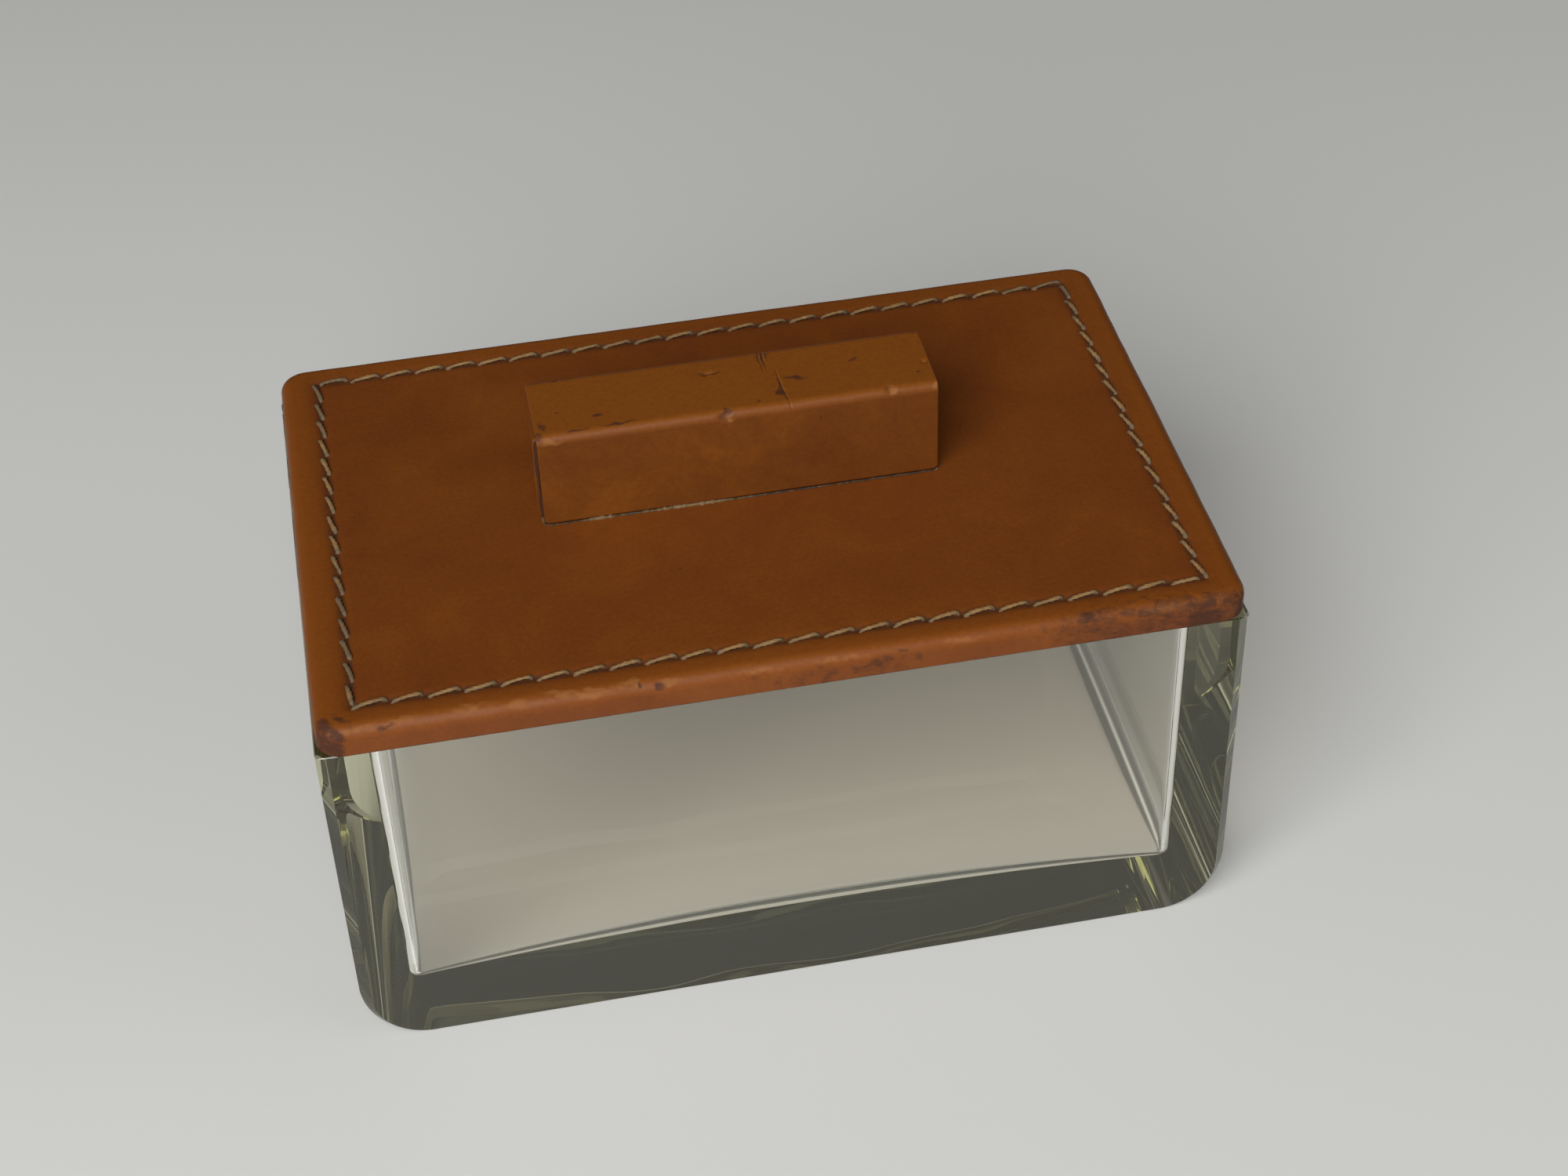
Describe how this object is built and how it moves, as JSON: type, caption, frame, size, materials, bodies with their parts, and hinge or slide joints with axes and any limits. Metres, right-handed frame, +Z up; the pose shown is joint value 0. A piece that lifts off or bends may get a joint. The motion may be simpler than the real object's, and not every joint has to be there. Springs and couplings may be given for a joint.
{
  "type": "glass desk box",
  "caption": "Thick glass box for papers and keepsakes, with rounded lower ends and a lift-off leather-covered lid with saddle stitching and a block handle.",
  "frame": {"origin": "middle of the underside of the glass", "axes": "+X along the length of the box, +Y towards its back, +Z up out of the open top"},
  "size_m": [0.1706, 0.111, 0.1015],
  "materials": {
    "pressed_glass": "pressed, with ground and polished edges",
    "tan_leather": "vegetable-tanned, waxed, worn at the edges",
    "handle_leather": "vegetable-tanned, scuffed",
    "waxed_linen": "waxed thread, slightly dirty",
    "board_wood": "sanded",
    "block_wood": "sanded",
    "filler_card": "plain pressed fibre sheet",
    "brown_suede": "brushed suede",
    "screw_steel": "plain zinc-plated"
  },
  "bodies": {
    "glass": {"glass_box": "pressed_glass"},
    "lid": {"lid_cover": "tan_leather", "lid_board": "board_wood", "saddle_stitch": "waxed_linen", "underside_filler": "filler_card", "locating_panel": "board_wood", "locating_panel_suede": "brown_suede", "handle_block": "block_wood", "handle_wrap": "handle_leather", "handle_end_left": "handle_leather", "handle_end_right": "handle_leather", "handle_screw_left": "screw_steel", "handle_screw_right": "screw_steel"}
  },
  "joints": [
    {"name": "lid_lift", "type": "slide", "parent": "glass", "child": "lid", "axis": [0, 0, 1], "range_m": [0, 0.1]}
  ]
}
